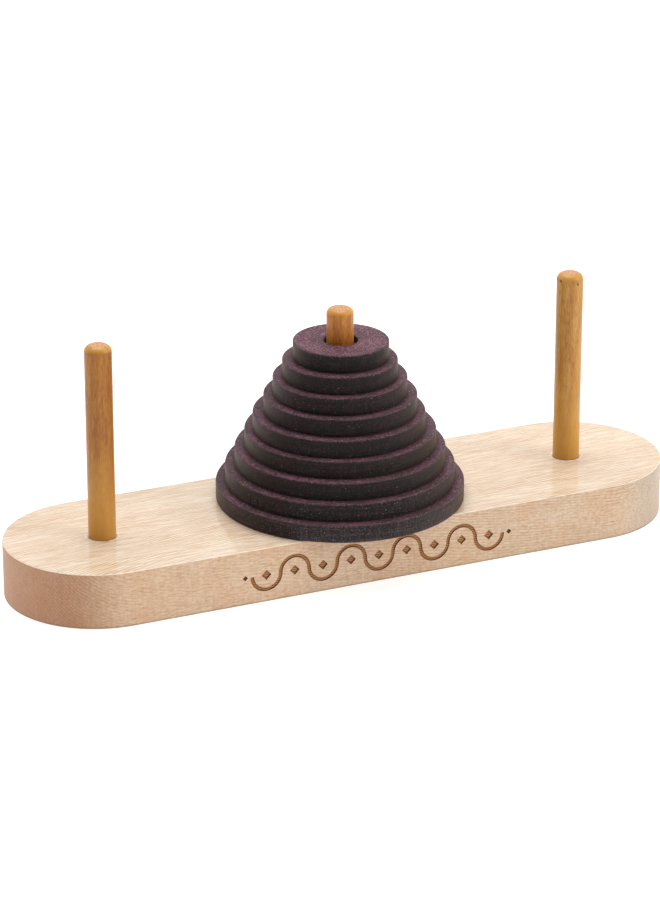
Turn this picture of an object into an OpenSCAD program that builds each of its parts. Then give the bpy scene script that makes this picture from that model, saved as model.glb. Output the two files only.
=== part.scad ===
// Tower puzzle: a round-ended maple board, three glued-in dowel pegs and a
// stack of nine rings on the middle peg, the largest ring at the bottom.
// The origin is on the table under the middle peg. +X runs along the board
// to the right-hand peg, -Y is the engraved front edge and +Z is up.

/* [Board] */
// Length of the board over its rounded ends
board_l = 234; // [226:1:280]
// Board width, front to back
board_w = 62; // [50:0.5:80]
// Board thickness
board_t = 19; // [16:0.5:30]
// Radius worn onto the board's edges
board_ease = 0.5; // [0.2:0.1:1.5]

/* [Pegs] */
// Distance from the middle peg to each outer peg
peg_pitch = 84.5; // [80:0.5:100]
// Peg diameter
peg_d = 9; // [7:0.1:10]
// Height that each peg stands above the board
peg_stand = 66; // [62:0.5:100]
// Depth of the blind hole that each peg is glued into
peg_set = 12; // [8:0.5:14]
// How much the buried foot of a peg is turned down, on the radius
peg_relief = 0.2; // [0.2:0.05:0.5]
// Radius of the rounded peg tip
peg_tip = 1.6; // [0.5:0.1:3]
// Glue gap around the foot, on the radius
glue_gap = 0.1; // [0.05:0.05:0.3]

/* [Rings] */
// Outer diameter of the smallest ring
ring_d_min = 31.75; // [25:0.25:32]
// Growth in diameter from one ring to the next
ring_d_step = 6.35; // [5:0.05:6.5]
// Ring thickness
ring_t = 6.1; // [4:0.1:6.4]
// Diameter of the hole through each ring
ring_hole = 11.2; // [11.2:0.1:13]
// Radius on the outer corners of a ring
ring_ease = 0.5; // [0.2:0.1:1]
// Chamfer at both mouths of a ring's hole
ring_mouth = 0.3; // [0.1:0.1:0.6]
// How far off centre a ring may lie on the peg
ring_play = 0.4; // [0:0.1:0.5]

/* [Engraved border] */
// Length of the engraved wave
wave_l = 90; // [63:9:108]
// Width of the engraved line
line_w = 1.3; // [0.8:0.1:1.6]
// Depth of the engraving
line_depth = 0.4; // [0.2:0.1:0.8]

/* [Hidden] */
$fn = 96;
ring_count = 9;
RINGS = [for (n = [1:ring_count]) str("ring_", n)];
cut = 1;                              // overshoot that keeps a cutter clear of a face
end_r = board_w / 2;                  // radius of the board's half-round ends
straight_l = board_l - board_w;       // length of its straight sides
peg_r = peg_d / 2;
foot_r = peg_r - peg_relief;          // radius of a peg's buried foot
foot_z = board_t - peg_set;           // height of the floor of the peg holes
foot_chamfer = 0.8;
hole_mouth = 0.4;                     // chamfer at the mouth of a peg hole
wave_count = 9;                       // half-waves along the engraved border
wave_pitch = wave_l / wave_count;
wave_r = wave_pitch / 2;              // centre-line radius of one half-wave
lozenge_w = 2.4;                      // side of the lozenge in each hollow

// Half the outline of a slab with eased edges, from the axis out to r
module half_profile(r, t, ease) {
    square([r - ease, t]);
    translate([0, ease]) square([r, t - 2 * ease]);
    for (y = [ease, t - ease])
        translate([r - ease, y]) circle(ease);
}

// The board before drilling: a straight bar with a full half-round at each end
module board_blank() {
    rotate([90, 0, 90])
        linear_extrude(straight_l, center = true)
            for (side = [0, 1])
                mirror([side, 0]) half_profile(end_r, board_t, board_ease);
    for (side = [-1, 1])
        translate([side * straight_l / 2, 0, 0])
            rotate_extrude() half_profile(end_r, board_t, board_ease);
}

// A blind hole with a flat floor and a chamfered mouth
module peg_hole() {
    r = foot_r + glue_gap;
    translate([0, 0, foot_z]) cylinder(h = peg_set + cut, r = r);
    translate([0, 0, board_t - hole_mouth])
        cylinder(h = hole_mouth + cut, r1 = r, r2 = r + hole_mouth + cut);
}

// One half-wave of the engraved line, above the centre line or below it
module half_wave(above) {
    intersection() {
        difference() {
            circle(wave_r + line_w / 2);
            circle(wave_r - line_w / 2);
        }
        translate([-wave_pitch, above ? 0 : -wave_pitch])
            square([2 * wave_pitch, wave_pitch]);
    }
}

module lozenge(side) {
    rotate(45) square(side, center = true);
}

// A running wave with a lozenge in each hollow and a small one past each end
module border_outline() {
    for (k = [0:wave_count - 1])
        translate([(k - (wave_count - 1) / 2) * wave_pitch, 0]) {
            half_wave(k % 2 == 0);
            lozenge(lozenge_w);
        }
    for (side = [-1, 1])
        translate([side * (wave_l / 2 + lozenge_w), 0]) lozenge(line_w);
}

module base_board() {
    color("navajowhite")
        difference() {
            board_blank();
            for (k = [-1:1])
                translate([k * peg_pitch, 0, 0]) peg_hole();
            translate([0, line_depth - end_r, board_t / 2])
                rotate([90, 0, 0])
                    linear_extrude(line_depth + cut) border_outline();
        }
}

// The outline of a peg from its axis: a chamfered foot, the shank and a rounded tip
module peg_profile() {
    tip_z = peg_set + peg_stand - peg_tip;
    polygon([[0, 0], [foot_r - foot_chamfer, 0], [foot_r, foot_chamfer], [foot_r, peg_set], [0, peg_set]]);
    translate([0, peg_set]) square([peg_r, tip_z - peg_set]);
    translate([0, tip_z]) square([peg_r - peg_tip, peg_tip]);
    translate([peg_r - peg_tip, tip_z])
        intersection() {
            circle(peg_tip);
            square(peg_tip);
        }
}

// The peg at place k = -1, 0 or 1
module peg(k) {
    color("peru")
        translate([k * peg_pitch, 0, foot_z])
            rotate_extrude() peg_profile();
}

// Ring n of the stack, counted from the top. Each lies a little off centre,
// as it was dropped, apart from the lowest one.
module ring(n) {
    r = (ring_d_min + (n - 1) * ring_d_step) / 2;
    below = ring_count - n;
    lean = 137 * below;
    shift = below == 0 ? 0 : ring_play * (0.5 + 0.5 * sin(83 * n));
    color("#3a2c33")
        translate([shift * cos(lean), shift * sin(lean), board_t + below * ring_t])
            rotate_extrude()
                difference() {
                    half_profile(r, ring_t, ring_ease);
                    square([ring_hole / 2, ring_t]);
                    for (z = [0, ring_t])
                        translate([ring_hole / 2, z])
                            rotate(45) square(ring_mouth * sqrt(2), center = true);
                }
}

base_board();
peg(-1);  // left_peg
peg(0);  // centre_peg
peg(1);  // right_peg
for (n = [1:ring_count])
    ring(n);
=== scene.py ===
import math

import bmesh
import bpy
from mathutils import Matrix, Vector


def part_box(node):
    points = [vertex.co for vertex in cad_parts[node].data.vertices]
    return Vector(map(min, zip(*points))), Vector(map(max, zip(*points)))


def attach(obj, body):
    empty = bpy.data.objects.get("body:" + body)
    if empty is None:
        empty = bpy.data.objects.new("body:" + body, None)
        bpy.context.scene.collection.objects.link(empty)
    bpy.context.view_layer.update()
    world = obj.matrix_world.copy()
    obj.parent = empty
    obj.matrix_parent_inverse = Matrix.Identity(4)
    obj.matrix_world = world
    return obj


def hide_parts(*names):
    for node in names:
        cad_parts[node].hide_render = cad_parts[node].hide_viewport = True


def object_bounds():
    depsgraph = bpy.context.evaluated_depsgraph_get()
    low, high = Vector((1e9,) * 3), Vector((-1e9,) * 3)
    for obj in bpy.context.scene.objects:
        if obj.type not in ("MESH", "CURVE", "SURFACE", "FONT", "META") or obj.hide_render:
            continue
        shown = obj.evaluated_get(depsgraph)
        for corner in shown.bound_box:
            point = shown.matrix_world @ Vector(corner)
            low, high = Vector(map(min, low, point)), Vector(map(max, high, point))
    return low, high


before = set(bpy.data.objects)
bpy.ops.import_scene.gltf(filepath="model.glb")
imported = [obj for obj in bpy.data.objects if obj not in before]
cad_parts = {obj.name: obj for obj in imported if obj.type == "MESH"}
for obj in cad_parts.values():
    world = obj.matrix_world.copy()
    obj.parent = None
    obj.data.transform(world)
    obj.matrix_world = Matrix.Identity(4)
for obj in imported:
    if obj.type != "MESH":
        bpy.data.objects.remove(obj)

# Tower puzzle: a round-ended maple board, three amber dowel pegs and nine laser-cut
# purpleheart rings. Lengths are in metres, so mm turns a millimetre value into metres.
mm = 0.001
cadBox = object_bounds()
boardLow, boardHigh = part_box("base_board")
boardTop = boardHigh.z
boardMiddle = (boardLow + boardHigh) / 2


# small tools used by every piece

def toLinear(hexColour):
    # an sRGB hex colour as linear red, green, blue and full alpha
    parts = [int(hexColour[i:i + 2], 16) / 255 for i in (1, 3, 5)]
    return [c / 12.92 if c <= 0.04045 else ((c + 0.055) / 1.055) ** 2.4 for c in parts] + [1.0]


def addNode(tree, kind, settings, sockets):
    # adds a node, sets its options, and fills or links its inputs
    node = tree.nodes.new("ShaderNode" + kind)
    for name, value in settings.items():
        if name == "stops":
            while len(node.color_ramp.elements) < len(value):
                node.color_ramp.elements.new(1.0)
            for stop, (place, colour) in zip(node.color_ramp.elements, value):
                stop.position = place
                stop.color = toLinear(colour)
        else:
            setattr(node, name, value)
    for name, value in sockets.items():
        if isinstance(value, bpy.types.NodeSocket):
            tree.links.new(value, node.inputs[name])
        else:
            node.inputs[name].default_value = value
    return node.outputs


def waveScale(gap):
    # at a scale of 1, a Wave texture repeats every pi / 10
    return 2 * math.pi / (20 * gap)


def startMaterial(name):
    material = bpy.data.materials.new(name)
    material.use_nodes = True
    tree = material.node_tree
    tree.nodes.clear()
    place = addNode(tree, "TexCoord", {}, {})["Object"]
    return material, tree, place


def endMaterial(tree, shader):
    addNode(tree, "OutputMaterial", {}, {"Surface": shader})


def pick(piece, kind, test):
    # in edit mode, selects the faces, edges or points that pass the test, and nothing else
    bpy.ops.mesh.select_mode(type=kind)
    bpy.ops.mesh.select_all(action="DESELECT")
    shape = bmesh.from_edit_mesh(piece.data)
    parts = {"FACE": shape.faces, "EDGE": shape.edges, "VERT": shape.verts}[kind]
    for part in parts:
        if test(part):
            part.select_set(True)
    bmesh.update_edit_mesh(piece.data)


def near(value, target, within=0.01 * mm):
    return abs(value - target) < within


def edgeAt(edge, z):
    return all(near(point.co.z, z) for point in edge.verts)


def useModifier(piece, kind, **settings):
    # adds a modifier and applies it at once
    bpy.ops.object.select_all(action="DESELECT")
    piece.select_set(True)
    bpy.context.view_layer.objects.active = piece
    modifier = piece.modifiers.new(kind.title(), kind)
    for name, value in settings.items():
        setattr(modifier, name, value)
    bpy.ops.object.modifier_apply(modifier=modifier.name)


def cutAway(piece, cutter):
    useModifier(piece, "BOOLEAN", operation="DIFFERENCE", solver="EXACT", object=cutter)
    bpy.data.objects.remove(cutter)


def smoothFaces(piece, degrees):
    # soft shading over the rounded edges, with the big faces kept flat
    bpy.ops.object.select_all(action="DESELECT")
    piece.select_set(True)
    bpy.context.view_layer.objects.active = piece
    bpy.ops.object.shade_smooth_by_angle(angle=math.radians(degrees))
    useModifier(piece, "WEIGHTED_NORMAL", mode="FACE_AREA", weight=80, keep_sharp=True)


# node options that several finishes share; a colour Mix node takes its colours at 6 and 7
smooth = {"interpolation_type": "SMOOTHSTEP"}
cover = {"data_type": "RGBA"}
tint = {"data_type": "RGBA", "blend_type": "MULTIPLY"}
plus = {"operation": "ADD"}
minus = {"operation": "SUBTRACT"}
times = {"operation": "MULTIPLY"}
larger = {"operation": "MAXIMUM"}
smaller = {"operation": "MINIMUM"}
unsigned = {"operation": "ABSOLUTE"}
span = {"operation": "LENGTH"}
bend = {"operation": "MULTIPLY_ADD"}
fold = {"operation": "PINGPONG"}


# camera

camera = {
    "azimuth": -24.21,  # degrees, from straight in front towards the left
    "elevation": 22.02,
    "distance": 1.2603,
    "lens": 152.5,
    "aimOffset": (-0.0036, 0.0, -0.0070),  # from the middle of the whole object
}

turn, tilt = math.radians(camera["azimuth"]), math.radians(camera["elevation"])
aim = [(low + high) / 2 + shift for low, high, shift in zip(*cadBox, camera["aimOffset"])]
away = (math.sin(turn) * math.cos(tilt), -math.cos(turn) * math.cos(tilt), math.sin(tilt))
bpy.ops.object.camera_add(
    location=[a + camera["distance"] * b for a, b in zip(aim, away)],
    rotation=(math.pi / 2 - tilt, 0.0, turn),
)
bpy.context.object.data.lens = camera["lens"]
bpy.context.scene.camera = bpy.context.object
bpy.context.scene.view_settings.view_transform = "Standard"
print("camera placed")


# a pale floor, white surroundings and soft lamps

studio = {
    "floorSize": 8.0,
    "floorGap": 0.05 * mm,
    "floorColour": "#cfcecc",
    "floorGlow": (0.70, 0.85),  # under the object, and far away from it
    "floorReach": (0.25, 1.6),  # metres from the object between which the glow grows
    "skyBright": 0.85,  # above and behind to the right
    "skyDim": 0.16,  # low in front to the left
    "skyBrightSide": (0.45, 0.75, 0.45),
    "skyRange": {"From Min": -0.55, "From Max": 0.45},
    # name: place, size, watts, colour
    "lamps": {
        "overheadSoftbox": ((0.08, 0.35, 1.5), 1.5, 15.5, "#ffffff"),
        "rightSoftbox": ((1.1, -0.95, 0.8), 0.9, 6.4, "#fffaf2"),
    },
}

floorZ = boardLow.z - studio["floorGap"]
bpy.ops.mesh.primitive_plane_add(size=studio["floorSize"], location=(0.0, 0.0, floorZ))
floor = bpy.context.object
floor.name = "studioFloor"
material, tree, place = startMaterial("paperSweep")
distance = addNode(tree, "VectorMath", span, {0: place})["Value"]
reachStart, reachEnd = studio["floorReach"]
glowNear, glowFar = studio["floorGlow"]
glow = addNode(tree, "MapRange", smooth, {
    "Value": distance, "From Min": reachStart, "From Max": reachEnd,
    "To Min": glowNear, "To Max": glowFar,
})[0]
paper = addNode(tree, "BsdfPrincipled", {}, {
    "Base Color": toLinear(studio["floorColour"]),
    "Roughness": 0.8,
    "Emission Color": (1.0, 1.0, 1.0, 1.0),
    "Emission Strength": glow,
})
endMaterial(tree, paper["BSDF"])
floor.data.materials.append(material)

# the surroundings are bright above and behind the object, and dim in front to the left
world = bpy.data.worlds.new("whiteStudio")
bpy.context.scene.world = world
world.use_nodes = True
air = world.node_tree
air.nodes.clear()
heading = addNode(air, "TexCoord", {}, {})["Generated"]
towardsBright = addNode(air, "VectorMath", {"operation": "DOT_PRODUCT"}, {
    0: heading, 1: studio["skyBrightSide"],
})["Value"]
lit = addNode(air, "MapRange", smooth, {
    "Value": towardsBright, **studio["skyRange"],
    "To Min": studio["skyDim"], "To Max": studio["skyBright"],
})[0]
seen = addNode(air, "LightPath", {}, {})["Is Camera Ray"]
level = addNode(air, "Math", larger, {0: lit, 1: seen})[0]
sky = addNode(air, "Background", {}, {"Color": (1.0, 1.0, 1.0, 1.0), "Strength": level})
addNode(air, "OutputWorld", {}, {"Surface": sky["Background"]})

for name, (place, size, power, colour) in studio["lamps"].items():
    bpy.ops.object.light_add(type="AREA", location=place)
    lamp = bpy.context.object
    lamp.name = name
    lamp.data.shape = "DISK"
    lamp.data.size = size
    lamp.data.energy = power
    lamp.data.color = toLinear(colour)[:3]
    toObject = boardMiddle - lamp.location
    lamp.rotation_euler = toObject.to_track_quat("-Z", "Y").to_euler()
print("studio lit")


# finishes: each "Scale" of a noise is how many of its blotches fit in a metre

maple = {
    "topTone": "#f0e2ce",
    "endTonesWithSheen": ("#c29979", "#c8bcad"),  # painted light: browner at the left end, and paler and greyer at the right end as a painted sheen
    # the same painted sheen, fainter, along the sides towards the right
    "sideTonesWithSheen": ("#e0c6ab", "#e0cdb5"),
    "patchTint": "#f4e9df",
    "lineTint": "#e0c4a8",
    "fibreTint": "#e6d4c4",
    "blushTint": "#ffe0c6",
    "poreTint": "#a97c5e",
    # a painted highlight along the corner between the top and the sides
    "cornerHighlightTone": "#fff4e2",
    # painted shade along the bottom corner, next to the table
    "bottomShadeTone": "#6f6258",
    "tornTone": "#fffcf6",
    "driftScale": (9.0, 30.0, 30.0),
    "driftReach": (0.0, 9 * mm, 6 * mm),
    "waverScale": (11.0, 150.0, 150.0),
    "waverReach": (0.0, 0.9 * mm, 0.9 * mm),
    "lineGap": 0.75 * mm,
    "pith": (-44 * mm, 80 * mm, -80 * mm),
    "pithStretch": (0.26, 1.0, 1.0),
    "lineRange": {"From Min": 0.35, "From Max": 1.0},
    "swellScale": (13.0, 90.0, 90.0),
    "swellRange": {"From Min": 0.36, "From Max": 0.66, "To Min": 0.1, "To Max": 0.9},
    "sideLines": {"To Min": 0.6},  # how strong the lines are on the sides, against 1 on the top
    "fibreScale": (110.0, 2300.0, 2300.0),
    "fibreRange": {"From Min": 0.41, "From Max": 0.61},
    "poreScale": (420.0, 1700.0, 1700.0),
    "poreRange": {"From Min": 0.68, "From Max": 0.80},
    "poreAmount": 0.42,
    "patchScale": 26.0,
    "patchRange": {"From Min": 0.35, "From Max": 0.7, "To Max": 0.3},
    "markScale": (650.0, 2500.0, 2500.0),
    "scratchScale": (1300.0, 1300.0, 180.0),
    "markShare": 0.74,
    "scratchShare": 0.26,
    "crossedShare": 0.62,  # of marks and scratches on the sides, against plain fibres
    "blushScale": 75.0,
    "blushRange": {"From Min": 0.42, "From Max": 0.70, "To Max": 0.34},
    "crumbScale": 1050.0,
    "crumbRange": {"From Min": 0.50, "From Max": 0.58},
    "crumbReach": (0.5 * mm, 1.7 * mm),  # past a hole's edge, where they thin and end
    "bottomShadeReach": (1.0 * mm, 0.2 * mm),  # above the table
    "bottomShadeAmount": 0.8,
    "endRange": {"From Min": 0.02, "From Max": 0.65},
    "topRange": {"From Min": 0.3, "From Max": 0.95},
    "sheenSideRange": {"From Min": -90 * mm, "From Max": 90 * mm},
    "cornerHighlightAmount": 3.2,
    "roughness": {"To Min": 0.48, "To Max": 0.08},  # of the sides, and of the top
    "fibreRoughness": 0.07,
}


def makeMaple(pitch, holeRadius, lowZ):
    # Hard maple, planed, sanded and sprayed with satin lacquer. It is cut aslant the growth
    # rings, so fine pinkish lines run along the top and the sides and slant across the
    # round ends, with short paler and darker fibres between them.
    material, tree, place = startMaterial("lacqueredMaple")
    slow = addNode(tree, "Mapping", {}, {"Vector": place, "Scale": maple["driftScale"]})[0]
    drift = addNode(tree, "TexNoise", {}, {
        "Vector": slow, "Scale": 1.0, "Detail": 3.0, "Roughness": 0.45,
    })[1]
    bent = addNode(tree, "VectorMath", bend, {0: drift, 1: maple["driftReach"], 2: place})[0]
    quick = addNode(tree, "Mapping", {}, {"Vector": place, "Scale": maple["waverScale"]})[0]
    waver = addNode(tree, "TexNoise", {}, {"Vector": quick, "Scale": 1.0, "Detail": 2.0})[1]
    bent = addNode(tree, "VectorMath", bend, {0: waver, 1: maple["waverReach"], 2: bent})[0]
    # growth rings 0.75 mm apart, about a pith above and in front of the board, which bends away
    about = addNode(tree, "Mapping", {}, {
        "Vector": bent, "Scale": maple["pithStretch"], "Location": maple["pith"],
    })[0]
    growth = addNode(
        tree, "TexWave", {"wave_type": "RINGS", "rings_direction": "SPHERICAL", "wave_profile": "SAW"},
        {"Vector": about, "Scale": waveScale(maple["lineGap"]), "Distortion": 0.0},
    )[1]
    lateWood = addNode(tree, "MapRange", smooth, {"Value": growth, **maple["lineRange"]})[0]
    # each growth ring is stronger in some places than in others
    swellPlace = addNode(tree, "Mapping", {}, {"Vector": bent, "Scale": maple["swellScale"]})[0]
    swell = addNode(tree, "TexNoise", {}, {"Vector": swellPlace, "Scale": 1.0, "Detail": 2.0})[0]
    # fibres 0.4 mm wide and about 9 mm long
    fibrePlace = addNode(tree, "Mapping", {}, {"Vector": bent, "Scale": maple["fibreScale"]})[0]
    fibre = addNode(tree, "TexNoise", {}, {
        "Vector": fibrePlace, "Scale": 1.0, "Detail": 4.0, "Roughness": 0.7,
    })[0]
    # pores up to 0.6 mm wide and 2.4 mm long, drawn wider than real ones so that they show
    porePlace = addNode(tree, "Mapping", {}, {"Vector": bent, "Scale": maple["poreScale"]})[0]
    pores = addNode(tree, "TexNoise", {}, {"Vector": porePlace, "Scale": 1.0, "Detail": 1.0})[0]
    fleck = addNode(tree, "MapRange", smooth, {"Value": pores, **maple["poreRange"]})[0]
    patches = addNode(tree, "TexNoise", {}, {
        "Vector": place, "Scale": maple["patchScale"], "Detail": 2.0,
    })[0]
    # sanded sides and end grain drink more lacquer than the wide face and turn browner
    facing = addNode(tree, "NewGeometry", {}, {})["Normal"]
    split = addNode(tree, "SeparateXYZ", {}, {"Vector": facing})
    endwise = addNode(tree, "Math", unsigned, {0: split[0]})[0]
    endGrain = addNode(tree, "MapRange", smooth, {"Value": endwise, **maple["endRange"]})[0]
    wide = addNode(tree, "MapRange", smooth, {"Value": split[2], **maple["topRange"]})[0]
    notWide = addNode(tree, "Math", minus, {0: 1.0, 1: wide})[0]
    spot = addNode(tree, "SeparateXYZ", {}, {"Vector": place})
    # painted light: the ends and sides turn paler and greyer from left to right, a painted sheen on the
    # right-hand end
    sheenSide = addNode(tree, "MapRange", smooth, {"Value": spot[0], **maple["sheenSideRange"]})[0]
    leftEnd, rightEnd = [toLinear(tone) for tone in maple["endTonesWithSheen"]]
    endTone = addNode(tree, "Mix", cover, {"Factor": sheenSide, 6: leftEnd, 7: rightEnd})[2]
    leftSide, rightSide = [toLinear(tone) for tone in maple["sideTonesWithSheen"]]
    edgeTone = addNode(tree, "Mix", cover, {"Factor": sheenSide, 6: leftSide, 7: rightSide})[2]
    sideTone = addNode(tree, "Mix", cover, {"Factor": endGrain, 6: edgeTone, 7: endTone})[2]
    tone = addNode(tree, "Mix", cover, {"Factor": wide, 6: sideTone, 7: toLinear(maple["topTone"])})[2]
    patchy = addNode(tree, "MapRange", {}, {"Value": patches, **maple["patchRange"]})[0]
    tone = addNode(tree, "Mix", tint, {"Factor": patchy, 6: tone, 7: toLinear(maple["patchTint"])})[2]
    # the growth rings' lines
    lineSwell = addNode(tree, "MapRange", {}, {"Value": swell, **maple["swellRange"]})[0]
    lineFace = addNode(tree, "MapRange", {}, {"Value": wide, **maple["sideLines"]})[0]
    lineAmount = addNode(tree, "Math", times, {0: lineSwell, 1: lineFace})[0]
    lines = addNode(tree, "Math", times, {0: lateWood, 1: lineAmount})[0]
    tone = addNode(tree, "Mix", tint, {"Factor": lines, 6: tone, 7: toLinear(maple["lineTint"])})[2]
    # the sides show shorter marks, 1.5 mm long, crossed by upright sanding scratches 0.8 mm apart
    markPlace = addNode(tree, "Mapping", {}, {"Vector": bent, "Scale": maple["markScale"]})[0]
    marks = addNode(tree, "TexNoise", {}, {"Vector": markPlace, "Scale": 1.0, "Detail": 2.0})[0]
    scratchPlace = addNode(tree, "Mapping", {}, {"Vector": place, "Scale": maple["scratchScale"]})[0]
    scratches = addNode(tree, "TexNoise", {}, {"Vector": scratchPlace, "Scale": 1.0, "Detail": 2.0})[0]
    someMarks = addNode(tree, "Math", times, {0: marks, 1: maple["markShare"]})[0]
    someScratches = addNode(tree, "Math", times, {0: scratches, 1: maple["scratchShare"]})[0]
    crossed = addNode(tree, "Math", plus, {0: someMarks, 1: someScratches})[0]
    sideFibre = addNode(tree, "Mix", {}, {"Factor": maple["crossedShare"], 2: fibre, 3: crossed})[0]
    shownFibre = addNode(tree, "Mix", {}, {"Factor": wide, 2: sideFibre, 3: fibre})[0]
    threads = addNode(tree, "MapRange", {}, {"Value": shownFibre, **maple["fibreRange"]})[0]
    tone = addNode(tree, "Mix", tint, {"Factor": threads, 6: tone, 7: toLinear(maple["fibreTint"])})[2]
    # warm blushes lie here and there on the sides
    blushes = addNode(tree, "TexNoise", {}, {
        "Vector": place, "Scale": maple["blushScale"], "Detail": 3.0,
    })[0]
    blush = addNode(tree, "MapRange", smooth, {"Value": blushes, **maple["blushRange"]})[0]
    sideBlush = addNode(tree, "Math", times, {0: blush, 1: notWide})[0]
    tone = addNode(tree, "Mix", tint, {"Factor": sideBlush, 6: tone, 7: toLinear(maple["blushTint"])})[2]
    flecks = addNode(tree, "Math", times, {0: fleck, 1: maple["poreAmount"]})[0]
    tone = addNode(tree, "Mix", tint, {"Factor": flecks, 6: tone, 7: toLinear(maple["poreTint"])})[2]
    # painted highlight: the sanded corner between the top and the sides is painted palest, as the bright
    # line along the lacquered edge
    between = addNode(tree, "Math", times, {0: wide, 1: notWide})[0]
    corner = addNode(tree, "Math", times, {0: between, 1: maple["cornerHighlightAmount"]})[0]
    tone = addNode(tree, "Mix", cover, {"Factor": corner, 6: tone, 7: toLinear(maple["cornerHighlightTone"])})[2]
    # painted shade: the lowest corner, next to the table, is darkened as a thin contact shadow line
    bottomShadeStart, bottomShadeEnd = maple["bottomShadeReach"]
    lowest = addNode(tree, "MapRange", smooth, {
        "Value": spot[2], "From Min": lowZ + bottomShadeStart, "From Max": lowZ + bottomShadeEnd,
    })[0]
    upOrDown = addNode(tree, "Math", unsigned, {0: split[2]})[0]
    onWalls = addNode(tree, "Math", minus, {0: maple["bottomShadeAmount"], 1: upOrDown})[0]
    bottomShade = addNode(tree, "Math", times, {0: lowest, 1: onWalls})[0]
    tone = addNode(tree, "Mix", cover, {"Factor": bottomShade, 6: tone, 7: toLinear(maple["bottomShadeTone"])})[2]
    # pale crumbs of torn grain round the mouths of the three peg holes
    across = addNode(tree, "Math", fold, {0: spot[0], 1: pitch / 2})[0]
    fromPeg = addNode(tree, "CombineXYZ", {}, {0: across, 1: spot[1]})[0]
    reach = addNode(tree, "VectorMath", span, {0: fromPeg})["Value"]
    crumbs = addNode(tree, "TexNoise", {}, {
        "Vector": place, "Scale": maple["crumbScale"], "Detail": 1.0,
    })[0]
    torn = addNode(tree, "MapRange", {}, {"Value": crumbs, **maple["crumbRange"]})[0]
    crumbStart, crumbEnd = maple["crumbReach"]
    mouth = addNode(tree, "MapRange", smooth, {
        "Value": reach, "From Min": holeRadius + crumbStart, "From Max": holeRadius + crumbEnd,
        "To Min": 1.0, "To Max": 0.0,
    })[0]
    tornMouth = addNode(tree, "Math", times, {0: torn, 1: mouth})[0]
    tone = addNode(tree, "Mix", cover, {"Factor": tornMouth, 6: tone, 7: toLinear(maple["tornTone"])})[2]
    # the lacquer shines on the wide face and sinks into the sides and the end grain
    sheen = addNode(tree, "MapRange", {}, {"Value": wide, **maple["roughness"]})[0]
    fibreRough = addNode(tree, "Math", times, {0: fibre, 1: maple["fibreRoughness"]})[0]
    gloss = addNode(tree, "Math", plus, {0: sheen, 1: fibreRough})[0]
    relief = addNode(tree, "Bump", {}, {"Height": fibre, "Strength": 0.06, "Distance": 0.05 * mm})[0]
    shader = addNode(tree, "BsdfPrincipled", {}, {
        "Base Color": tone, "Roughness": gloss, "Normal": relief, "IOR": 1.5,
    })
    endMaterial(tree, shader["BSDF"])
    return material


burnt = {
    "passTones": ("#c89364", "#7f4a22"),
    "wallTone": "#6a3716",
    "wallAmount": 0.85,
    "passGap": 0.7 * mm,
    "passShare": 0.75,
    "sootScale": 1100.0,
    "sootShare": 0.3,
    "lineDark": (0.26, 0.5),  # of the line's width, where it starts to darken and where it is darkest
    "lozengeDark": (0.35, 0.7),  # the same, of the lozenge's side
}


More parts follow.
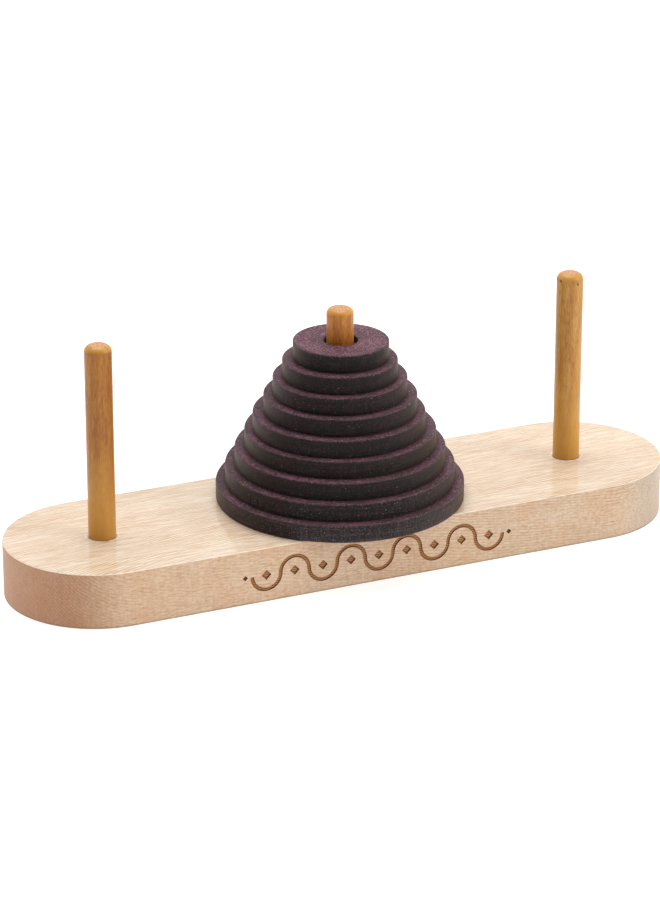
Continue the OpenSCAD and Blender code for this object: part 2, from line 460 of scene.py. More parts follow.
def makeBurntMaple(pitch, middleZ, lineWidth, lozenge):
    # Maple burnt by a laser in close parallel passes: toffee brown in the middle of a line,
    # darker at its walls, with a fine stripe from each pass. Real passes are 0.1 mm apart;
    # they are drawn 0.7 mm apart so that they show.
    material, tree, place = startMaterial("burntMaple")
    split = addNode(tree, "SeparateXYZ", {}, {"Vector": place})
    across = addNode(tree, "Math", fold, {0: split[0], 1: pitch / 2})[0]
    # the distance from the middle of the nearest half-wave, so that the walls can be darkened
    rise = addNode(tree, "Math", minus, {0: split[2], 1: middleZ})[0]
    acrossSquare = addNode(tree, "Math", times, {0: across, 1: across})[0]
    riseSquare = addNode(tree, "Math", times, {0: rise, 1: rise})[0]
    square = addNode(tree, "Math", plus, {0: acrossSquare, 1: riseSquare})[0]
    reach = addNode(tree, "Math", {"operation": "SQRT"}, {0: square})[0]
    pastLine = addNode(tree, "Math", minus, {0: reach, 1: pitch / 2})[0]
    offLine = addNode(tree, "Math", unsigned, {0: pastLine})[0]
    lineStart, lineEnd = burnt["lineDark"]
    lineWall = addNode(tree, "MapRange", smooth, {
        "Value": offLine, "From Min": lineStart * lineWidth, "From Max": lineEnd * lineWidth,
    })[0]
    # the same for a lozenge, whose walls lie where the two offsets add up to its half-diagonal
    height = addNode(tree, "Math", unsigned, {0: rise})[0]
    offLozenge = addNode(tree, "Math", plus, {0: across, 1: height})[0]
    lozengeStart, lozengeEnd = burnt["lozengeDark"]
    lozengeWall = addNode(tree, "MapRange", smooth, {
        "Value": offLozenge, "From Min": lozengeStart * lozenge, "From Max": lozengeEnd * lozenge,
    })[0]
    wall = addNode(tree, "Math", smaller, {0: lineWall, 1: lozengeWall})[0]
    passes = addNode(
        tree, "TexWave", {"wave_type": "BANDS", "bands_direction": "Z", "wave_profile": "SIN"},
        {"Vector": place, "Scale": waveScale(burnt["passGap"]), "Distortion": 0.6, "Detail": 2.0},
    )[1]
    soot = addNode(tree, "TexNoise", {}, {
        "Vector": place, "Scale": burnt["sootScale"], "Detail": 3.0,
    })[0]
    passAmount = addNode(tree, "Math", times, {0: passes, 1: burnt["passShare"]})[0]
    sootAmount = addNode(tree, "Math", times, {0: soot, 1: burnt["sootShare"]})[0]
    amount = addNode(tree, "Math", plus, {0: passAmount, 1: sootAmount})[0]
    paleTone, darkTone = [toLinear(tone) for tone in burnt["passTones"]]
    tone = addNode(tree, "Mix", cover, {"Factor": amount, 6: paleTone, 7: darkTone})[2]
    walls = addNode(tree, "Math", times, {0: wall, 1: burnt["wallAmount"]})[0]
    tone = addNode(tree, "Mix", cover, {"Factor": walls, 6: tone, 7: toLinear(burnt["wallTone"])})[2]
    relief = addNode(tree, "Bump", {}, {"Height": passes, "Strength": 0.2, "Distance": 0.05 * mm})[0]
    shader = addNode(tree, "BsdfPrincipled", {}, {
        "Base Color": tone, "Roughness": 0.75, "Normal": relief, "IOR": 1.5, "Specular IOR Level": 0.25,
    })
    endMaterial(tree, shader["BSDF"])
    return material


amber = {
    "streakTint": "#ddc2a4",
    "footTone": "#dfa54c",
    "speckTone": "#4a2410",
    "shoulderTone": "#d29b48",
    "tipTones": ("#d9a571", "#b9793f"),
    "streakScale": (2300.0, 2300.0, 400.0),
    "streakRange": {"From Min": 0.35, "From Max": 0.68},
    "bandScale": (480.0, 480.0, 45.0),
    "footFadeHeight": 40 * mm,
    "footAmount": 0.75,
    "speckScale": (700.0, 700.0, 500.0),
    "speckSoft": 0.04,
    "speckDepth": (4.5 * mm, 3.0 * mm),  # below the tip, where specks begin and where all show
    "shoulderRange": {"From Min": 0.0, "From Max": 0.6, "To Max": 0.7},
    "tipRange": {"From Min": 0.80, "From Max": 0.99},
    "dotScale": 1600.0,
    "dotRange": {"From Min": 0.38, "From Max": 0.62},
    "roughness": {"To Min": 0.30, "To Max": 0.46},
    "shoulderShine": 0.2,
}


def makeAmberDowel(name, settings, middle, footZ, topZ):
    # Birch dowel, stained amber and varnished: streaks run up the peg, and the sanded end
    # grain at the tip stays paler and pinker inside a golden rim.
    material, tree, place = startMaterial(name)
    own = addNode(tree, "Mapping", {}, {
        "Vector": place, "Location": (-middle.x, -middle.y, settings["seed"]),
    })[0]
    # streaks 0.4 mm wide and 2.5 mm long, over bands of stain 2 mm wide and 22 mm long
    streakPlace = addNode(tree, "Mapping", {}, {"Vector": own, "Scale": amber["streakScale"]})[0]
    streaks = addNode(tree, "TexNoise", {}, {
        "Vector": streakPlace, "Scale": 1.0, "Detail": 3.0, "Roughness": 0.7,
    })[0]
    bandPlace = addNode(tree, "Mapping", {}, {"Vector": own, "Scale": amber["bandScale"]})[0]
    bands = addNode(tree, "TexNoise", {}, {"Vector": bandPlace, "Scale": 1.0, "Detail": 2.0})[0]
    tone = addNode(tree, "ValToRGB", {"stops": settings["stain"]}, {"Fac": bands})[0]
    dark = addNode(tree, "MapRange", {}, {"Value": streaks, **amber["streakRange"]})[0]
    tone = addNode(tree, "Mix", tint, {"Factor": dark, 6: tone, 7: toLinear(amber["streakTint"])})[2]
    # paler and yellower towards the foot
    split = addNode(tree, "SeparateXYZ", {}, {"Vector": place})
    towardsFoot = addNode(tree, "MapRange", smooth, {
        "Value": split[2], "From Min": footZ, "From Max": footZ + amber["footFadeHeight"],
        "To Min": amber["footAmount"], "To Max": 0.0,
    })[0]
    tone = addNode(tree, "Mix", cover, {"Factor": towardsFoot, 6: tone, 7: toLinear(amber["footTone"])})[2]
    # dark specks up to 1.4 mm wide in the tip, where the grain was torn
    speckPlace = addNode(tree, "Mapping", {}, {"Vector": own, "Scale": amber["speckScale"]})[0]
    specks = addNode(tree, "TexNoise", {}, {"Vector": speckPlace, "Scale": 1.0, "Detail": 0.0})[0]
    speckStart, speckEnd = amber["speckDepth"]
    nearTip = addNode(tree, "MapRange", smooth, {
        "Value": split[2], "From Min": topZ - speckStart, "From Max": topZ - speckEnd,
    })[0]
    speckAmount = addNode(tree, "MapRange", {}, {
        "Value": specks, "From Min": settings["specks"],
        "From Max": settings["specks"] + amber["speckSoft"],
    })[0]
    tipSpecks = addNode(tree, "Math", times, {0: speckAmount, 1: nearTip})[0]
    tone = addNode(tree, "Mix", cover, {
        "Factor": tipSpecks, 6: tone, 7: toLinear(amber["speckTone"]),
    })[2]
    # a golden shoulder of thicker varnish round the pinker end grain
    facing = addNode(tree, "NewGeometry", {}, {})["Normal"]
    upward = addNode(tree, "SeparateXYZ", {}, {"Vector": facing})[2]
    shoulder = addNode(tree, "MapRange", smooth, {"Value": upward, **amber["shoulderRange"]})[0]
    golden = toLinear(amber["shoulderTone"])
    tone = addNode(tree, "Mix", cover, {"Factor": shoulder, 6: tone, 7: golden})[2]
    tip = addNode(tree, "MapRange", smooth, {"Value": upward, **amber["tipRange"]})[0]
    dots = addNode(tree, "TexNoise", {}, {"Vector": own, "Scale": amber["dotScale"], "Detail": 2.0})[0]
    dotty = addNode(tree, "MapRange", {}, {"Value": dots, **amber["dotRange"]})[0]
    paleTone, darkTone = [toLinear(tone) for tone in amber["tipTones"]]
    tipTone = addNode(tree, "Mix", cover, {"Factor": dotty, 6: paleTone, 7: darkTone})[2]
    tone = addNode(tree, "Mix", cover, {"Factor": tip, 6: tone, 7: tipTone})[2]
    rough = addNode(tree, "MapRange", {}, {"Value": streaks, **amber["roughness"]})[0]
    shine = addNode(tree, "Math", times, {0: shoulder, 1: amber["shoulderShine"]})[0]
    gloss = addNode(tree, "Math", minus, {0: rough, 1: shine})[0]
    relief = addNode(tree, "Bump", {}, {"Height": streaks, "Strength": 0.25, "Distance": 0.06 * mm})[0]
    shader = addNode(tree, "BsdfPrincipled", {}, {
        "Base Color": tone, "Roughness": gloss, "Normal": relief, "IOR": 1.5, "Specular IOR Level": 0.36,
    })
    endMaterial(tree, shader["BSDF"])
    return material


plum = {
    "face": [(0.41, "#3a1b29"), (0.50, "#5e3045"), (0.59, "#854f69")],
    "paleTone": "#a47b8a",
    "sunkTone": "#38222b",
    # the tone of soot on the rim and in drifts, and of the painted shade under the ring above
    "sootAndShadeTone": "#2c2226",
    "thinTone": "#2c161b",
    "ashTone": "#948b88",
    "dustTone": "#b3a1a8",
    # a painted highlight, in specks along the rounded rim
    "rimHighlightTone": "#94858a",
    "fibreScale": (170.0, 2200.0, 900.0),
    "fibreShare": 0.55,
    "patchScale": 110.0,
    "patchShare": 0.45,
    "gritScale": 2100.0,
    "crumbScale": 3000.0,
    "paleRange": {"From Min": 0.53, "From Max": 0.63, "To Max": 0.8},
    "sunkRange": {"From Min": 0.50, "From Max": 0.38, "To Max": 1.0},
    "seatShadeOutside": 2.0 * mm,  # how far the painted shade spreads from the edge of the ring above
    "seatShadeInside": 4.0 * mm,  # and how far under it
    "rimWidth": 1.3 * mm,
    "rimAmount": 0.7,
    "driftScale": 85.0,
    "driftRange": {"From Min": 0.42, "From Max": 0.62},
    "grainRange": {"From Min": 0.35, "From Max": 0.6, "To Min": 0.35},
    "raggedAmount": 0.22,
    "charRange": {"From Min": 0.40, "From Max": 0.92, "To Min": 1.0, "To Max": 0.0},
    "layerScale": (70.0, 70.0, 1900.0),
    "strokeScale": (1400.0, 1400.0, 110.0),
    "layerShare": 0.3,
    "gritShare": 0.55,
    "strokeShare": 0.15,
    "thinScale": 380.0,
    "thinRange": {"From Min": 0.5, "From Max": 0.64, "To Max": 0.55},
    "ashScale": (1500.0, 1500.0, 1800.0),
    "ashSoft": 0.06,
    "ashAmount": 0.6,
    "dustRange": {"From Min": 0.65, "From Max": 0.73, "To Max": 0.4},
    "rimHighlightRange": {"From Min": 0.42, "From Max": 0.62, "To Max": 0.22},
    "roundAmount": 4.0,
    "roughness": {"To Min": 0.42, "To Max": 0.68},
    "gritRelief": 0.6,
    "layerRelief": 0.4,
    "sheenTint": "#ddb8a2",
}


def makePurpleheart(name, settings, middle):
    # Purpleheart sheet cut by a laser: the sanded faces are plum brown with fine pale and
    # dark fibres, and the cut walls are charred almost black with soot on the rim.
    material, tree, place = startMaterial(name)
    centred = addNode(tree, "Mapping", {}, {
        "Vector": place, "Location": (-middle.x, -middle.y, -middle.z),
    })[0]
    turned = addNode(tree, "Mapping", {}, {
        "Vector": centred, "Rotation": (0.0, 0.0, -math.radians(settings["grain"])),
        "Location": (settings["seed"], 0.0, 0.0),
    })[0]
    # fibres 0.45 mm wide and about 6 mm long
    fibrePlace = addNode(tree, "Mapping", {}, {"Vector": turned, "Scale": plum["fibreScale"]})[0]
    fibre = addNode(tree, "TexNoise", {}, {
        "Vector": fibrePlace, "Scale": 1.0, "Detail": 4.0, "Roughness": 0.65,
    })[0]
    patches = addNode(tree, "TexNoise", {}, {
        "Vector": turned, "Scale": plum["patchScale"], "Detail": 3.0,
    })[0]
    # grit 0.5 mm across and crumbs 0.3 mm across, coarser than real dust so that they show
    grit = addNode(tree, "TexNoise", {}, {
        "Vector": turned, "Scale": plum["gritScale"], "Detail": 2.0,
    })[0]
    crumbs = addNode(tree, "TexNoise", {}, {
        "Vector": turned, "Scale": plum["crumbScale"], "Detail": 1.0,
    })[0]
    someFibre = addNode(tree, "Math", times, {0: fibre, 1: plum["fibreShare"]})[0]
    somePatches = addNode(tree, "Math", times, {0: patches, 1: plum["patchShare"]})[0]
    mixed = addNode(tree, "Math", plus, {0: someFibre, 1: somePatches})[0]
    tone = addNode(tree, "ValToRGB", {"stops": plum["face"]}, {"Fac": mixed})[0]
    pale = addNode(tree, "MapRange", {}, {"Value": grit, **plum["paleRange"]})[0]
    tone = addNode(tree, "Mix", cover, {"Factor": pale, 6: tone, 7: toLinear(plum["paleTone"])})[2]
    sunk = addNode(tree, "MapRange", {}, {"Value": grit, **plum["sunkRange"]})[0]
    tone = addNode(tree, "Mix", cover, {"Factor": sunk, 6: tone, 7: toLinear(plum["sunkTone"])})[2]
    # painted shade: the faces are darkened by the ring's tint, the rings below the top one more than the
    # top ring
    tone = addNode(tree, "Mix", tint, {"Factor": 1.0, 6: tone, 7: toLinear(settings["paintedShade"])})[2]
    # painted shade darkens the face round the seat of the ring above, as a contact shadow; soot lies
    # along the rim and in drifts between them
    level = addNode(tree, "VectorMath", times, {0: centred, 1: (1.0, 1.0, 0.0)})["Vector"]
    reach = addNode(tree, "VectorMath", span, {0: level})["Value"]
    seat, radius = settings["seat"], settings["radius"]
    outside = addNode(tree, "MapRange", smooth, {
        "Value": reach, "From Min": seat + plum["seatShadeOutside"], "From Max": seat,
    })[0]
    inside = addNode(tree, "MapRange", smooth, {
        "Value": reach, "From Min": seat - plum["seatShadeInside"], "From Max": seat,
    })[0]
    rim = addNode(tree, "MapRange", smooth, {
        "Value": reach, "From Min": radius - plum["rimWidth"], "From Max": radius,
        "To Max": plum["rimAmount"],
    })[0]
    drifts = addNode(tree, "TexNoise", {}, {
        "Vector": turned, "Scale": plum["driftScale"], "Detail": 4.0, "Roughness": 0.7,
    })[0]
    drifts = addNode(tree, "MapRange", smooth, {
        "Value": drifts, **plum["driftRange"], "To Max": settings["soot"],
    })[0]
    # painted shade: the band round the seat of the ring above
    seatShade = addNode(tree, "Math", times, {0: outside, 1: inside})[0]
    looseSoot = addNode(tree, "Math", larger, {0: rim, 1: drifts})[0]
    soot = addNode(tree, "Math", larger, {0: seatShade, 1: looseSoot})[0]
    grains = addNode(tree, "MapRange", {}, {"Value": crumbs, **plum["grainRange"]})[0]
    sootAndShade = addNode(tree, "Math", times, {0: soot, 1: grains})[0]
    tone = addNode(tree, "Mix", cover, {"Factor": sootAndShade, 6: tone, 7: toLinear(plum["sootAndShadeTone"])})[2]
    facing = addNode(tree, "NewGeometry", {}, {})["Normal"]
    facingUp = addNode(tree, "SeparateXYZ", {}, {"Vector": facing})[2]
    flat = addNode(tree, "Math", unsigned, {0: facingUp})[0]
    # the laser charred every upright wall, and the soot ends raggedly on the rounded rim
    crumbRise = addNode(tree, "Math", minus, {0: crumbs, 1: 0.5})[0]
    raggedRise = addNode(tree, "Math", times, {0: crumbRise, 1: plum["raggedAmount"]})[0]
    ragged = addNode(tree, "Math", plus, {0: flat, 1: raggedRise})[0]
    charred = addNode(tree, "MapRange", smooth, {"Value": ragged, **plum["charRange"]})[0]
    # the layers of the sheet show on the cut wall as faint level lines 0.5 mm apart
    layerPlace = addNode(tree, "Mapping", {}, {"Vector": turned, "Scale": plum["layerScale"]})[0]
    layers = addNode(tree, "TexNoise", {}, {"Vector": layerPlace, "Scale": 1.0, "Detail": 3.0})[0]
    # the beam left upright strokes as well, 0.7 mm apart
    strokePlace = addNode(tree, "Mapping", {}, {"Vector": turned, "Scale": plum["strokeScale"]})[0]
    strokes = addNode(tree, "TexNoise", {}, {"Vector": strokePlace, "Scale": 1.0, "Detail": 2.0})[0]
    someLayers = addNode(tree, "Math", times, {0: layers, 1: plum["layerShare"]})[0]
    someGrit = addNode(tree, "Math", times, {0: grit, 1: plum["gritShare"]})[0]
    someStrokes = addNode(tree, "Math", times, {0: strokes, 1: plum["strokeShare"]})[0]
    charring = addNode(tree, "Math", plus, {0: someLayers, 1: someGrit})[0]
    charring = addNode(tree, "Math", plus, {0: charring, 1: someStrokes})[0]
    wallTone = addNode(tree, "ValToRGB", {"stops": settings["wall"]}, {"Fac": charring})[0]
    # red wood shows through where the char is thin
    thin = addNode(tree, "TexNoise", {}, {
        "Vector": turned, "Scale": plum["thinScale"], "Detail": 4.0, "Roughness": 0.7,
    })[0]
    thin = addNode(tree, "MapRange", {}, {"Value": thin, **plum["thinRange"]})[0]
    redWood = toLinear(plum["thinTone"])
    wallTone = addNode(tree, "Mix", cover, {"Factor": thin, 6: wallTone, 7: redWood})[2]
    # flecks of ash up to 0.7 mm across
    ashPlace = addNode(tree, "Mapping", {}, {"Vector": turned, "Scale": plum["ashScale"]})[0]
    ashes = addNode(tree, "TexNoise", {}, {"Vector": ashPlace, "Scale": 1.0, "Detail": 1.0})[0]
    ash = addNode(tree, "MapRange", {}, {
        "Value": ashes, "From Min": settings["ash"], "From Max": settings["ash"] + plum["ashSoft"],
        "To Max": plum["ashAmount"],
    })[0]
    greyAsh = toLinear(plum["ashTone"])
    wallTone = addNode(tree, "Mix", cover, {"Factor": ash, 6: wallTone, 7: greyAsh})[2]
    tone = addNode(tree, "Mix", cover, {"Factor": charred, 6: tone, 7: wallTone})[2]
    # pale dust lies on the faces too
    dust = addNode(tree, "MapRange", {}, {"Value": ashes, **plum["dustRange"]})[0]
    dust = addNode(tree, "Math", times, {0: dust, 1: flat})[0]
    tone = addNode(tree, "Mix", cover, {"Factor": dust, 6: tone, 7: toLinear(plum["dustTone"])})[2]
    # painted highlight: the rounded rim is painted pale in specks, a thin highlight line along it
    notFlat = addNode(tree, "Math", minus, {0: 1.0, 1: flat})[0]
    between = addNode(tree, "Math", times, {0: flat, 1: notFlat})[0]
    rounded = addNode(tree, "Math", times, {0: between, 1: plum["roundAmount"]})[0]
    rimSpecks = addNode(tree, "MapRange", {}, {"Value": crumbs, **plum["rimHighlightRange"]})[0]
    rimHighlight = addNode(tree, "Math", times, {0: rounded, 1: rimSpecks})[0]
    tone = addNode(tree, "Mix", cover, {"Factor": rimHighlight, 6: tone, 7: toLinear(plum["rimHighlightTone"])})[2]
    gloss = addNode(tree, "MapRange", {}, {"Value": grit, **plum["roughness"]})[0]
    gritHeight = addNode(tree, "Math", times, {0: grit, 1: plum["gritRelief"]})[0]
    layerHeight = addNode(tree, "Math", times, {0: layers, 1: plum["layerRelief"]})[0]
    height = addNode(tree, "Math", plus, {0: gritHeight, 1: layerHeight})[0]
    relief = addNode(tree, "Bump", {}, {"Height": height, "Strength": 0.6, "Distance": 0.12 * mm})[0]
    shader = addNode(tree, "BsdfPrincipled", {}, {
        "Base Color": tone, "Roughness": gloss, "Normal": relief, "IOR": 1.5, "Specular IOR Level": 0.18,
        "Sheen Weight": 0.20, "Sheen Roughness": 0.5, "Sheen Tint": toLinear(plum["sheenTint"]),
    })
    endMaterial(tree, shader["BSDF"])
    return material


# board

board = {
    "endPoints": 192,
    "edgeRound": 0.5 * mm,
    "edgeSteps": 4,
    "flatAngle": 0.2,  # degrees, under which neighbouring faces are joined
    "softAngle": 30,  # degrees, under which an edge is shaded round
    "holeRadius": 4.4 * mm,
    "holeMouth": 0.4 * mm,
    "holePoints": 96,
    "waveTurns": 9,
    "wavePitch": 10 * mm,
    "waveSteps": 30,
    "lineWidth": 1.3 * mm,
    "lineDepth": 0.4 * mm,
    "lozenge": 2.4 * mm,
    "endLozenge": 1.3 * mm,
    "cutPast": 1.0 * mm,  # how far a cutter reaches past the face it cuts
    "slack": 0.05 * mm,  # how far a burnt face may lie off the engraving's depth
    "borderReach": 7 * mm,  # from the line's middle: past the wave, short of the rounded edges
}

endRadius = (boardHigh.y - boardLow.y) / 2
endX = boardHigh.x - endRadius
bpy.ops.object.select_all(action="DESELECT")
# the right-hand end is half a disc, drawn out to the middle and mirrored
bpy.ops.mesh.primitive_cylinder_add(
    vertices=board["endPoints"], radius=endRadius, depth=boardHigh.z - boardLow.z,
    location=(endX, boardMiddle.y, boardMiddle.z),
)
baseBoard = bpy.context.object
baseBoard.name = "mapleBoard"
bpy.ops.object.transform_apply()
bpy.ops.object.mode_set(mode="EDIT")
bpy.ops.mesh.select_all(action="SELECT")
bpy.ops.mesh.bisect(plane_co=(endX, 0.0, 0.0), plane_no=(1.0, 0.0, 0.0), clear_inner=True)
pick(baseBoard, "EDGE", lambda edge: all(near(point.co.x, endX) for point in edge.verts))
bpy.ops.mesh.extrude_edges_move(TRANSFORM_OT_translate={"value": (-endX, 0.0, 0.0)})
bpy.ops.object.mode_set(mode="OBJECT")
useModifier(baseBoard, "MIRROR", use_axis=(True, False, False), merge_threshold=0.001 * mm)
bpy.ops.object.mode_set(mode="EDIT")
bpy.ops.mesh.select_all(action="SELECT")
bpy.ops.mesh.dissolve_limited(angle_limit=math.radians(board["flatAngle"]))
pick(baseBoard, "EDGE", lambda edge: edgeAt(edge, boardTop) or edgeAt(edge, boardLow.z))
bpy.ops.mesh.bevel(offset=board["edgeRound"], segments=board["edgeSteps"], profile=0.5, affect="EDGES")
bpy.ops.object.mode_set(mode="OBJECT")

# the three blind holes, each with a chamfered mouth
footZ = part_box("centre_peg")[0].z
pegMiddles = {}
for name in ("left_peg", "centre_peg", "right_peg"):
    low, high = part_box(name)
    pegMiddles[name] = (low + high) / 2
bpy.ops.object.select_all(action="DESELECT")
neckZ = boardTop - board["holeMouth"]
bpy.ops.mesh.primitive_cylinder_add(
    vertices=board["holePoints"], radius=board["holeRadius"], depth=neckZ - footZ,
    location=(0.0, 0.0, (neckZ + footZ) / 2),
)
drill = bpy.context.object
bpy.ops.object.transform_apply()
bpy.ops.object.mode_set(mode="EDIT")
pick(drill, "FACE", lambda face: face.normal.z > 0.9)
bpy.ops.mesh.extrude_region_move(TRANSFORM_OT_translate={"value": (0.0, 0.0, board["holeMouth"])})
flare = 1 + board["holeMouth"] / board["holeRadius"]
bpy.ops.transform.resize(value=(flare, flare, 1.0), center_override=(0.0, 0.0, boardTop))
bpy.ops.mesh.extrude_region_move(TRANSFORM_OT_translate={"value": (0.0, 0.0, board["cutPast"])})
bpy.ops.object.mode_set(mode="OBJECT")
for name, middle in pegMiddles.items():
    bit = drill.copy()
    bit.data = drill.data.copy()
    bpy.context.collection.objects.link(bit)
    bit.location.x, bit.location.y = middle.x, middle.y
    cutAway(baseBoard, bit)
bpy.data.objects.remove(drill)

# the engraved border: one stroke spun through nine half-turns, with lozenges in the hollows
floorY = boardLow.y + board["lineDepth"]
lineZ = boardMiddle.z
waveStart = -board["waveTurns"] * board["wavePitch"] / 2
bpy.ops.object.select_all(action="DESELECT")
bpy.ops.mesh.primitive_plane_add(size=1.0, location=(waveStart, floorY - board["cutPast"], lineZ))
border = bpy.context.object
border.scale = (board["lineWidth"], 2 * board["cutPast"], 1.0)
bpy.ops.object.transform_apply()
bpy.ops.object.mode_set(mode="EDIT")
bpy.ops.mesh.select_all(action="SELECT")
for k in range(board["waveTurns"]):
    turnX = waveStart + (k + 0.5) * board["wavePitch"]
    bpy.ops.mesh.spin(
        steps=board["waveSteps"], angle=math.pi if k % 2 == 0 else -math.pi,
        center=(turnX, floorY, lineZ), axis=(0.0, 1.0, 0.0),
    )
bpy.ops.mesh.select_all(action="SELECT")
bpy.ops.mesh.normals_make_consistent(inside=False)
lozenges = []
for k in range(board["waveTurns"]):
    lozenges.append((waveStart + (k + 0.5) * board["wavePitch"], board["lozenge"]))
for way in (-1, 1):
    lozenges.append((way * (board["lozenge"] - waveStart), board["endLozenge"]))
for x, side in lozenges:
    bpy.ops.mesh.primitive_cube_add(
        size=side, location=(x, floorY - side / 2, lineZ), rotation=(0.0, math.pi / 4, 0.0),
    )
bpy.ops.object.mode_set(mode="OBJECT")
cutAway(baseBoard, border)


def isBurnt(face):
    # true for the floors and walls of the engraved line and the lozenges
    spot = face.calc_center_median()
    sunk = boardLow.y + board["slack"] < spot.y < floorY + board["slack"]
    along = abs(spot.x) < 2 * board["lozenge"] - waveStart
    return sunk and along and abs(spot.z - lineZ) < board["borderReach"]


smoothFaces(baseBoard, board["softAngle"])
baseBoard.data.materials.clear()
baseBoard.data.materials.append(makeMaple(pegMiddles["right_peg"].x, board["holeRadius"], boardLow.z))
baseBoard.data.materials.append(
    makeBurntMaple(board["wavePitch"], lineZ, board["lineWidth"], board["lozenge"])
)
bpy.ops.object.mode_set(mode="EDIT")
bpy.ops.mesh.select_all(action="SELECT")
baseBoard.active_material_index = 0
bpy.ops.object.material_slot_assign()
pick(baseBoard, "FACE", isBurnt)
baseBoard.active_material_index = 1
bpy.ops.object.material_slot_assign()
bpy.ops.object.mode_set(mode="OBJECT")
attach(baseBoard, "base")
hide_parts("base_board")
print("board built:", len(baseBoard.data.polygons), "faces")


# pegs

deepStain = [(0.38, "#b98132"), (0.50, "#b2782b"), (0.62, "#a76a25")]
warmStain = [(0.38, "#d89a42"), (0.50, "#d08c35"), (0.62, "#c37a2d")]
paleStain = [(0.38, "#cf9f52"), (0.50, "#c99548"), (0.62, "#c0883e")]
pegs = {
    "points": 96,
    "relief": 0.2 * mm,  # how much thinner the buried foot is, on the radius
    "footChamfer": 0.8 * mm,
    "tipSteps": 10,
    "softAngle": 30,  # degrees
    # a lower "specks" gives more of them
    "left_peg": {
        "name": "leftPeg", "tip": 2.2 * mm, "seed": 0.11, "specks": 0.76, "stain": deepStain,
    },
    "centre_peg": {
        "name": "centrePeg", "tip": 1.9 * mm, "seed": 0.47, "specks": 0.84, "stain": warmStain,
    },
    "right_peg": {
        "name": "rightPeg", "tip": 2.3 * mm, "seed": 0.83, "specks": 0.68, "stain": paleStain,
    },
}

for name, middle in pegMiddles.items():
    low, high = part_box(name)
    radius = (high.x - low.x) / 2
    own = pegs[name]
    bpy.ops.object.select_all(action="DESELECT")
    bpy.ops.mesh.primitive_cylinder_add(
        vertices=pegs["points"], radius=radius, depth=high.z - boardTop,
        location=(middle.x, middle.y, (high.z + boardTop) / 2),
    )
    peg = bpy.context.object
    peg.name = own["name"]
    bpy.ops.object.transform_apply()
    bpy.ops.object.mode_set(mode="EDIT")
    pick(peg, "FACE", lambda face: face.normal.z < -0.9)
    bpy.ops.mesh.inset(thickness=pegs["relief"])
    bpy.ops.mesh.extrude_region_move(TRANSFORM_OT_translate={"value": (0.0, 0.0, low.z - boardTop)})
    pick(peg, "EDGE", lambda edge: edgeAt(edge, low.z))
    bpy.ops.mesh.bevel(offset=pegs["footChamfer"], segments=1, affect="EDGES")
    pick(peg, "EDGE", lambda edge: edgeAt(edge, high.z))
    bpy.ops.mesh.bevel(offset=own["tip"], segments=pegs["tipSteps"], profile=0.5, affect="EDGES")
    bpy.ops.object.mode_set(mode="OBJECT")
    smoothFaces(peg, pegs["softAngle"])
    peg.data.materials.clear()
    peg.data.materials.append(makeAmberDowel("amberDowel_" + name, own, middle, boardTop, high.z))
    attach(peg, "base")
    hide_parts(name)
print("pegs built")


# rings, counted from the smallest at the top

charWall = [(0.43, "#030202"), (0.51, "#0b0708"), (0.60, "#2a1f24")]
# painted light: a lighter copy of the char for ring 9, which catches more light and bounce from the
# board than the rings above
litWall = [(0.43, "#141011"), (0.51, "#272122"), (0.60, "#4b4144")]
dustyWall = [(0.43, "#050304"), (0.51, "#120e0f"), (0.60, "#3b3134")]
oliveWall = [(0.43, "#040302"), (0.51, "#100c0a"), (0.60, "#2f2622")]
rings = {
    "count": 9,
    "points": 320,
    "holeRadius": 5.6 * mm,
    "rimRound": 0.5 * mm,
    "rimSteps": 4,
    "mouth": 0.3 * mm,
    "wallCuts": 3,  # extra loops up the charred wall, for its unevenness
    "rough": 0.06 * mm,  # depth of that unevenness
    "roughReach": 0.4 * mm,  # how far in from the wall it acts
    "softAngle": 40,  # degrees
    "slack": 0.1 * mm,  # how far an edge may lie off a ring's radius or its hole's
    "grain": [38, 15, -20, 64, -48, 5, 27, -35, 80],  # degrees, turn of each ring's grain
    "seedStep": 0.061,
    # how every ring looks: less "ash" is more ash specks, "soot" is how far it covers the face, and the
    # faces' tint is painted shade, lighter on the top ring
    "looks": {"wall": charWall, "ash": 0.74, "soot": 0.5, "paintedShade": "#dcd4d8"},
    # and the rings that differ; ring 9's lighter walls are painted light
    "changes": {
        1: {"soot": 0.25, "paintedShade": "#f2ecf0"},
        3: {"ash": 0.71},
        6: {"wall": oliveWall, "soot": 0.7},
        8: {"wall": dustyWall, "ash": 0.70, "soot": 0.8},
        9: {"wall": litWall, "ash": 0.72, "soot": 0.9},
    },
    "underGap": 0.02 * mm,  # keeps a ring's underside off the face of the ring below
}

sootGrain = bpy.data.textures.new("sootGrain", "CLOUDS")
sootGrain.noise_scale = 1.8 * mm
sootGrain.noise_depth = 2


def offAxis(part, axis):
    # how far a point, or the middle of an edge, lies from an upright axis
    spot = part.co if hasattr(part, "co") else (part.verts[0].co + part.verts[1].co) / 2
    return math.hypot(spot.x - axis.x, spot.y - axis.y)


def onFlats(edge, low, high):
    return edgeAt(edge, low.z) or edgeAt(edge, high.z)


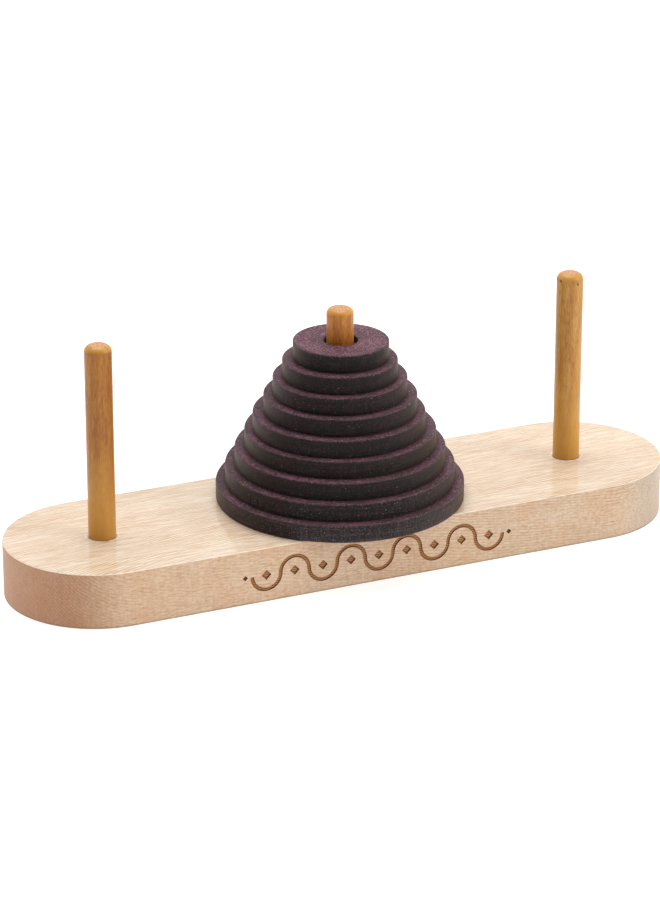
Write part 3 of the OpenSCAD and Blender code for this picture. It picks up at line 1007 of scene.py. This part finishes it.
radiusAbove = rings["holeRadius"]
for n in range(1, rings["count"] + 1):
    node = f"ring_{n}"
    low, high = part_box(node)
    low.z += rings["underGap"]
    middle = (low + high) / 2
    radius = (high.x - low.x) / 2
    bpy.ops.object.select_all(action="DESELECT")
    bpy.ops.mesh.primitive_cylinder_add(
        vertices=rings["points"], radius=radius, depth=high.z - low.z, location=middle,
    )
    ring = bpy.context.object
    ring.name = f"plumRing_{n}"
    bpy.ops.object.transform_apply()
    bpy.ops.object.mode_set(mode="EDIT")
    pick(ring, "FACE", lambda face: abs(face.normal.z) > 0.9)
    bpy.ops.mesh.inset(thickness=radius - rings["holeRadius"])
    bpy.ops.mesh.bridge_edge_loops()
    pick(ring, "EDGE", lambda edge: onFlats(edge, low, high)
         and near(offAxis(edge, middle), radius, rings["slack"]))
    bpy.ops.mesh.bevel(offset=rings["rimRound"], segments=rings["rimSteps"], profile=0.5, affect="EDGES")
    pick(ring, "EDGE", lambda edge: onFlats(edge, low, high)
         and near(offAxis(edge, middle), rings["holeRadius"], rings["slack"]))
    bpy.ops.mesh.bevel(offset=rings["mouth"], segments=1, affect="EDGES")
    wallHeight = high.z - low.z - 2 * rings["rimRound"]
    for k in range(rings["wallCuts"]):
        cutZ = low.z + rings["rimRound"] + (k + 1) / (rings["wallCuts"] + 1) * wallHeight
        pick(ring, "FACE", lambda face: abs(face.normal.z) < 0.1
             and near(offAxis(face.edges[0], middle), radius, rings["slack"]))
        bpy.ops.mesh.bisect(plane_co=(0.0, 0.0, cutZ), plane_no=(0.0, 0.0, 1.0))
    bpy.ops.object.mode_set(mode="OBJECT")
    # the charred wall is a little uneven, always inwards
    wall = ring.vertex_groups.new(name="wall")
    outer = []
    for point in ring.data.vertices:
        if offAxis(point, middle) > radius - rings["roughReach"]:
            outer.append(point.index)
    wall.add(outer, 1.0, "REPLACE")
    useModifier(ring, "DISPLACE", texture=sootGrain, texture_coords="LOCAL", vertex_group="wall",
                strength=rings["rough"], mid_level=1.0)
    smoothFaces(ring, rings["softAngle"])
    own = {
        **rings["looks"],
        **rings["changes"].get(n, {}),
        "grain": rings["grain"][n - 1],
        "seed": rings["seedStep"] * n,
        "radius": radius,
        "seat": radiusAbove,  # where the ring above ends, or the hole in ring 1
    }
    ring.data.materials.clear()
    ring.data.materials.append(makePurpleheart(f"charredPurpleheart_{n}", own, middle))
    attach(ring, f"ring_{n}")
    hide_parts(node)
    radiusAbove = radius
print("rings built")
